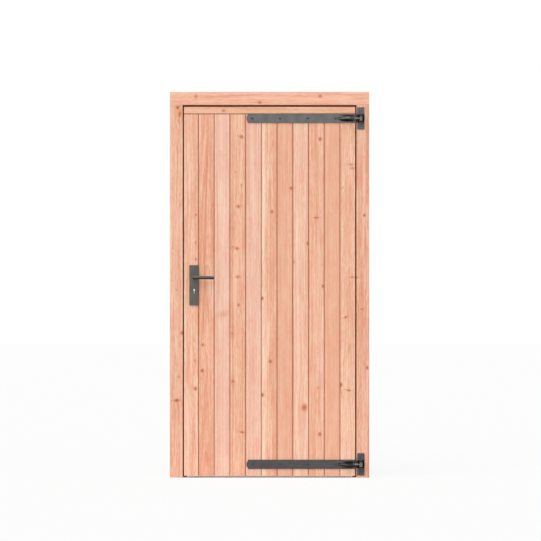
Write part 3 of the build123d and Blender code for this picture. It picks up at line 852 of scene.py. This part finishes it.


# Hinges and handles. Painted shade darkens the coat along one side of each housing, and less along the other.
housing_shades = {
    "top": [(-124, 1955, 40, 8, 0.97), (-118, 1981, 40, 5, 0.75), (-93, 1965, 16, 24, 0.6)],
    "bottom": [(-114, 81, 30, 7, 0.97), (-100, 73, 28, 22, 0.55), (-118, 58, 38, 5, 0.6)],
}
# The two hinges carry one coat: the bottom hinge's darker tones are painted shade.
coat_tones_bottom_shaded = {"top": ("606160", "5D5758"), "bottom": ("434144", "494648")}
hinge_coats = {}
post_plate_coats = {}
for hinge, (strap_tone, plate_tone) in coat_tones_bottom_shaded.items():
    strap_name = f"powder_coated_steel_{hinge}_hinge"
    plate_name = f"powder_coated_steel_{hinge}_plate"
    marks = housing_shades[hinge]
    hinge_coats[hinge] = make_dull_coat(strap_name, strap_tone, 0.5, 0.9, 0.25, shade_spots=marks)
    post_plate_coats[hinge] = make_dull_coat(plate_name, plate_tone, 0.5, 0.9, 0.35, eye_heights[hinge])
# The strap bolts are a darker grey than the straps.
bolt_coat = make_dull_coat("dark_steel_bolts", "343638", 0.45, 0.6, 0.1)

# Painted shade on the eye's left, over and under the bolt.
eye_shades = [
    (-56, height / MM + side * 7, 5, 3.5, 0.9) for height in eye_heights.values() for side in (-1, 1)
]
eye_coat = make_dull_coat("dull_galvanised_steel_eyes", "6C7270", 0.4, 0.6, 0.3, shade_spots=eye_shades)
# The weld beads are dark burnt metal, made near black as painted shade along the housings and ears.
weld_shade_coat = make_dull_coat("weld_metal_painted_shade", "131413", 0.6, 0.5, 0.0, gloss=0.06)
lever_low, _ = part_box("outside_lever")
# The lower part of each lever's grip is painted black as shade.
LOWER_SHADE_HEIGHT = 6 * MM
handle_coat = make_dull_coat("satin_coated_aluminium_handle", "59534C", 0.38, 0.6, 0.12)
lever_coat = make_dull_coat(
    "satin_coated_aluminium_lever", "59534C", 0.38, 0.6, 0.12, shaded_below=lever_low.z + LOWER_SHADE_HEIGHT
)

# Zinc plated steel: bright grey metal, softly brushed by the plating, with slightly cloudy reflections.
zinc_plate, tree, surface = new_material("zinc_plated_steel")
place = add_node(tree, "TexCoord", {}).outputs["Object"]
plating = add_node(tree, "TexNoise", {"Vector": place, "Scale": 1 / (9 * MM), "Detail": 3.0})
plating_tone = add_node(
    tree, "Mix", {0: plating, 6: linear("AEB0B2"), 7: linear("CFD1D2")}, data_type="RGBA"
).outputs[2]
plating_rough = add_node(
    tree, "MapRange", {"Value": plating, "From Min": 0.3, "From Max": 0.7, "To Min": 0.28, "To Max": 0.42}
)
brushed = add_node(
    tree, "Mapping", {0: place, "Scale": (1 / (0.5 * MM), 1 / (0.5 * MM), 1 / (14 * MM))}
)
brush_lines = add_node(tree, "TexNoise", {"Vector": brushed, "Scale": 1.0, "Detail": 2.0})
brush_bump = add_node(tree, "Bump", {"Strength": 0.2, "Distance": 0.05 * MM, "Height": brush_lines})
tree.links.new(plating_tone, surface.inputs["Base Color"])
tree.links.new(plating_rough.outputs[0], surface.inputs["Roughness"])
tree.links.new(brush_bump.outputs[0], surface.inputs["Normal"])
surface.inputs["Metallic"].default_value = 1.0

for hinge in ("top", "bottom"):
    node_materials[f"{hinge}_strap"] = hinge_coats[hinge]
    node_materials[f"{hinge}_post_plate"] = post_plate_coats[hinge]
    node_materials[f"{hinge}_plate_screws"] = hinge_coats[hinge]
    node_materials[f"{hinge}_eye_bolt"] = eye_coat
    node_materials[f"{hinge}_hinge_pin"] = eye_coat
    node_materials[f"{hinge}_strap_bolts"] = bolt_coat
for piece in ("outside_plate", "inside_plate", "handle_screws"):
    node_materials[piece] = handle_coat
for piece in ("outside_lever", "inside_lever"):
    node_materials[piece] = lever_coat
for piece in ("strike_plate", "mortise_lock", "lock_bolts", "spindle"):
    node_materials[piece] = zinc_plate
for name, node in nodes.items():
    node.data.materials.clear()
    node.data.materials.append(node_materials[name])


def place_piece(name, mesh_source, material, body, smooth=True):
    """Makes a piece from a bmesh, in its material, riding on its body."""
    bmesh.ops.recalc_face_normals(mesh_source, faces=mesh_source.faces)
    mesh = bpy.data.meshes.new(name)
    mesh_source.to_mesh(mesh)
    mesh_source.free()
    for face in mesh.polygons:
        face.use_smooth = smooth
    mesh.materials.append(material)
    piece = bpy.data.objects.new(name, mesh)
    bpy.context.scene.collection.objects.link(piece)
    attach(piece, body)
    return piece


# Rolled thread on the shank of each eye bolt, between its eye and the housing. One ridge is (along, out) mm.
THREAD_PITCH = 1.5 * MM
THREAD_STEPS = 20
THREAD_TURNS = 19
THREAD_START = PIN_X - 10 * MM
THREAD_RIDGE = ((-0.62, 4.7), (-0.1, 5.5), (0.1, 5.5), (0.62, 4.7))
for hinge, height in eye_heights.items():
    thread = bmesh.new()
    profile = [
        thread.verts.new((THREAD_START + along * MM, PIN_Y, height + radius * MM))
        for along, radius in THREAD_RIDGE
    ]
    edges = [thread.edges.new(pair) for pair in zip(profile, profile[1:])]
    bmesh.ops.spin(
        thread,
        geom=profile + edges,
        cent=(THREAD_START, PIN_Y, height),
        axis=(1, 0, 0),
        dvec=(-THREAD_PITCH / THREAD_STEPS, 0, 0),
        angle=math.tau * THREAD_TURNS,
        steps=THREAD_STEPS * THREAD_TURNS,
        use_merge=False,
        use_duplicate=False,
    )
    place_piece(f"{hinge}_eye_bolt_thread", thread, eye_coat, "leaf")


def add_circle(mesh_source, segments, radius, matrix):
    """A closed ring. Gives its vertices and its edges."""
    verts = bmesh.ops.create_circle(mesh_source, segments=segments, radius=radius, matrix=matrix)["verts"]
    return verts, list({edge for vert in verts for edge in vert.link_edges})


def extrude_ring(mesh_source, edges):
    """Extrudes a closed ring of edges in place. Gives the new ring's vertices and edges."""
    made = bmesh.ops.extrude_edge_only(mesh_source, edges=edges)["geom"]
    verts = [part for part in made if isinstance(part, bmesh.types.BMVert)]
    made_edges = [part for part in made if isinstance(part, bmesh.types.BMEdge)]
    return verts, [edge for edge in made_edges if all(vert in verts for vert in edge.verts)]


BEAD_SIDES = 10
RIPPLE_STEPS = 4
RIPPLE_DROP = 0.14
BEAD_END = 0.3


def add_weld_bead(mesh_source, start, end, radius, ripples):
    """A weld bead along X: a round bar with its ends closed, whose size swells at each ripple."""
    steps = ripples * RIPPLE_STEPS
    turned = Matrix.Translation(start) @ Matrix.Rotation(math.pi / 2, 4, "Y")
    ring, edges = add_circle(mesh_source, BEAD_SIDES, radius, turned)
    middle = Vector(start)
    bmesh.ops.scale(
        mesh_source, vec=(1, BEAD_END, BEAD_END), verts=ring, space=Matrix.Translation(-middle)
    )
    ends = [edges]
    advance = (Vector(end) - Vector(start)) / steps
    size = BEAD_END
    for step in range(1, steps + 1):
        ring, edges = extrude_ring(mesh_source, edges)
        bmesh.ops.translate(mesh_source, vec=advance, verts=ring)
        middle += advance
        ripple = 1 - RIPPLE_DROP * (step % RIPPLE_STEPS) / (RIPPLE_STEPS - 1)
        target = BEAD_END if step == steps else ripple
        bmesh.ops.scale(
            mesh_source, vec=(1, target / size, target / size), verts=ring, space=Matrix.Translation(-middle)
        )
        size = target
    ends.append(edges)
    for loop in ends:
        bmesh.ops.contextual_create(mesh_source, geom=loop)


# Weld beads where the ears meet each post plate, and along both sides of each strap's housing and its rib, near
# black as painted shade. The rib widens from its tip to the housing.
PLATE_THICKNESS = 4 * MM
STRAP_THICKNESS = 5 * MM
EAR_BEAD_OUT = 20.3 * MM
EAR_BEAD_HALF = 16.5 * MM
EAR_BEAD_RAISE = 0.2 * MM
HOUSING_BEAD_RAISE = 0.6 * MM
RIB_TIP_X = -172 * MM
HOUSING_LEFT_X = -131 * MM
HOUSING_RIGHT_X = -87 * MM
RIB_TIP_HALF = 2.6 * MM
RIB_FOOT_HALF = 8.6 * MM
HOUSING_HALF = 11.4 * MM
for hinge, height in eye_heights.items():
    _, plate_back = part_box(f"{hinge}_post_plate")
    ear_y = plate_back.y - PLATE_THICKNESS - EAR_BEAD_RAISE
    ear_beads = bmesh.new()
    for out in (EAR_BEAD_OUT, -EAR_BEAD_OUT):
        ear_ends = [(PIN_X + side * EAR_BEAD_HALF, ear_y, height + out) for side in (-1, 1)]
        add_weld_bead(ear_beads, *ear_ends, radius=2.0 * MM, ripples=11)
    place_piece(f"{hinge}_ear_welds", ear_beads, weld_shade_coat, "frame")

    _, strap_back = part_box(f"{hinge}_strap")
    strap_front = strap_back.y - STRAP_THICKNESS
    housing_y = strap_front - HOUSING_BEAD_RAISE
    housing_beads = bmesh.new()
    for side in (-1, 1):
        rib_start = (RIB_TIP_X, strap_front, height + side * RIB_TIP_HALF)
        rib_end = (HOUSING_LEFT_X, strap_front, height + side * RIB_FOOT_HALF)
        add_weld_bead(housing_beads, rib_start, rib_end, radius=2.4 * MM, ripples=13)
        housing_start = (HOUSING_LEFT_X, housing_y, height + side * HOUSING_HALF)
        housing_end = (HOUSING_RIGHT_X, housing_y, height + side * HOUSING_HALF)
        add_weld_bead(housing_beads, housing_start, housing_end, radius=3.2 * MM, ripples=12)
    place_piece(f"{hinge}_housing_welds", housing_beads, weld_shade_coat, "leaf")


HEAD_SIDES = 24
RECESS_SIDES = 12
RECESS_SHARE = 0.46
RECESS_WAIST = 0.74
HEAD_RIM = 0.5 * MM


def add_countersunk_screw(mesh_source, centre, turn, radius, depth):
    """Countersunk head with a six pointed recess, facing the way that turn takes +Z to."""
    placed = Matrix.Translation(centre) @ turn
    _, rim_edges = add_circle(mesh_source, HEAD_SIDES, radius, placed)
    star, star_edges = add_circle(mesh_source, RECESS_SIDES, radius * RECESS_SHARE, placed)
    for number, vert in enumerate(star):
        if number % 2:
            vert.co = Vector(centre) + (vert.co - Vector(centre)) * RECESS_WAIST
    bmesh.ops.bridge_loops(mesh_source, edges=rim_edges + star_edges)
    facing = (turn @ Vector((0, 0, 1))).normalized()
    sunk_verts, sunk_edges = extrude_ring(mesh_source, star_edges)
    bmesh.ops.translate(mesh_source, vec=-facing * depth, verts=sunk_verts)
    bmesh.ops.contextual_create(mesh_source, geom=sunk_edges)
    skirt_verts, _ = extrude_ring(mesh_source, rim_edges)
    bmesh.ops.translate(mesh_source, vec=-facing * HEAD_RIM, verts=skirt_verts)


TO_BACK = Matrix.Rotation(-math.pi / 2, 4, "X")
TO_LEFT = Matrix.Rotation(-math.pi / 2, 4, "Y")
TO_RIGHT = Matrix.Rotation(math.pi / 2, 4, "Y")

# Screws from behind, through the rails into each board, one on each side of its middle.
RAIL_SCREW = dict(radius=4.2 * MM, depth=1.7 * MM)
SCREW_OFFSET = 14 * MM
SCREW_TO_END = 12 * MM
ROW_SHARES = (0.3, 0.7)
RAIL_SCREW_RAISE = 0.15 * MM
rail_screws = bmesh.new()
screw_rows = []
for rail in ("top_rail", "middle_rail", "bottom_rail"):
    low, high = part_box(rail)
    for share in ROW_SHARES:
        screw_rows.append((low.z + (high.z - low.z) * share, high.y + RAIL_SCREW_RAISE))
rails_low, rails_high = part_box("middle_rail")
for number in range(1, len(leaf_boards) + 1):
    board_low, board_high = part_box(f"board_{number:02d}")
    middle = (board_low.x + board_high.x) / 2
    for row, (height, back) in enumerate(screw_rows):
        across = middle + (SCREW_OFFSET if row % 2 else -SCREW_OFFSET)
        if rails_low.x + SCREW_TO_END < across < rails_high.x - SCREW_TO_END:
            add_countersunk_screw(rail_screws, (across, back, height), TO_BACK, **RAIL_SCREW)
place_piece("rail_screws", rail_screws, zinc_plate, "leaf", smooth=False)

# Screws of the lock's face plate, on the leaf's edge, and of the strike plate across from it.
PLATE_SCREW = dict(radius=3.6 * MM, depth=1.5 * MM)
FACE_SCREW_TO_END = 14 * MM
STRIKE_SCREW_TO_END = 11 * MM
PLATE_SCREW_RAISE = 0.1 * MM
lock_low, lock_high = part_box("mortise_lock")
lock_y = (lock_low.y + lock_high.y) / 2
face_x = lock_low.x - PLATE_SCREW_RAISE
face_screws = bmesh.new()
for height in (lock_low.z + FACE_SCREW_TO_END, lock_high.z - FACE_SCREW_TO_END):
    add_countersunk_screw(face_screws, (face_x, lock_y, height), TO_LEFT, **PLATE_SCREW)
place_piece("face_plate_screws", face_screws, zinc_plate, "leaf", smooth=False)

strike_low, strike_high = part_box("strike_plate")
strike_x = strike_high.x + PLATE_SCREW_RAISE
strike_screws = bmesh.new()
for height in (strike_low.z + STRIKE_SCREW_TO_END, strike_high.z - STRIKE_SCREW_TO_END):
    add_countersunk_screw(strike_screws, (strike_x, lock_y, height), TO_RIGHT, **PLATE_SCREW)
place_piece("strike_plate_screws", strike_screws, zinc_plate, "frame", smooth=False)


def seen_rays(tree):
    """1 for rays from the camera, also by way of metal or glass, and 0 for the light that falls on the door."""
    rays = add_node(tree, "LightPath", {}).outputs
    direct = add_node(tree, "Math", {0: rays["Is Camera Ray"], 1: rays["Is Glossy Ray"]}, operation="MAXIMUM")
    return add_node(tree, "Math", {0: direct, 1: rays["Is Transmission Ray"]}, operation="MAXIMUM")


# Floor, lamps and camera. The floor shows white to the camera, apart from a faint shadow, full under the leaf.
FOOT_MIDDLE = (-0.545, 0.02, 0)
FOOT_REACH = (0.56, 0.09, 1)
PLAIN_WHITE = 0.86
floor_sheet = bmesh.new()
bmesh.ops.create_grid(floor_sheet, x_segments=1, y_segments=1, size=30)
floor_mesh = bpy.data.meshes.new("floor")
floor_sheet.to_mesh(floor_mesh)
floor_sheet.free()
floor = bpy.data.objects.new("floor", floor_mesh)
bpy.context.scene.collection.objects.link(floor)
floor_material, tree, surface = new_material("pale_floor")
surface.inputs["Base Color"].default_value = linear("F2F2F2")
surface.inputs["Roughness"].default_value = 0.9
floor_place = add_node(tree, "TexCoord", {}).outputs["Object"]
from_foot = add_node(
    tree,
    "Mapping",
    {0: floor_place, "Location": FOOT_MIDDLE, "Scale": FOOT_REACH},
    vector_type="TEXTURE",
)
foot_parts = add_node(tree, "SeparateXYZ", {0: from_foot})
away_x = add_node(tree, "Math", {0: foot_parts.outputs["X"]}, operation="ABSOLUTE")
away_y = add_node(tree, "Math", {0: foot_parts.outputs["Y"]}, operation="ABSOLUTE")
away = add_node(tree, "Math", {0: away_x, 1: away_y}, operation="MAXIMUM")
plain_share = add_node(
    tree, "MapRange", {"Value": away, "From Min": 0.75, "From Max": 1.0, "To Min": 0.0, "To Max": PLAIN_WHITE}
)
white_share = add_node(tree, "Math", {0: seen_rays(tree), 1: plain_share}, operation="MULTIPLY")
white = add_node(tree, "Emission", {"Color": (1, 1, 1, 1), "Strength": 1.0})
mixed = add_node(tree, "MixShader", {0: white_share, 1: surface, 2: white})
tree.links.new(mixed.outputs[0], tree.nodes["Material Output"].inputs["Surface"])
floor_mesh.materials.append(floor_material)
floor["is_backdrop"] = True

LAMP_LEVEL = 0.45
world = bpy.data.worlds.new("studio")
world.use_nodes = True
bpy.context.scene.world = world
tree = world.node_tree
level = add_node(
    tree,
    "MapRange",
    {"Value": seen_rays(tree), "From Min": 0.0, "From Max": 1.0, "To Min": LAMP_LEVEL, "To Max": 1.0},
)
background = tree.nodes["Background"]
background.inputs["Color"].default_value = (1, 1, 1, 1)
tree.links.new(level.outputs[0], background.inputs["Strength"])

sun_data = bpy.data.lights.new("upper_left_lamp", "SUN")
sun_data.energy = 2.0
sun_data.angle = math.radians(60)
sun = bpy.data.objects.new("upper_left_lamp", sun_data)
SUN_DIRECTION = Vector((0.26, 0.60, -0.76))
sun.rotation_euler = SUN_DIRECTION.to_track_quat("-Z", "Y").to_euler()
bpy.context.scene.collection.objects.link(sun)

# Far off with a long lens, square on, because the keyhole shows right through the leaf.
CAMERA_PLACE = (-0.540, -16.485, 1.133)
camera_data = bpy.data.cameras.new("camera")
camera_data.lens = 200
camera_data.sensor_width = 36
camera_data.clip_end = 100
camera = bpy.data.objects.new("camera", camera_data)
camera.location = CAMERA_PLACE
camera.rotation_euler = (math.pi / 2, 0, 0)
bpy.context.scene.collection.objects.link(camera)
bpy.context.scene.camera = camera
bpy.context.scene.view_settings.view_transform = "Standard"

low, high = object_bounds()
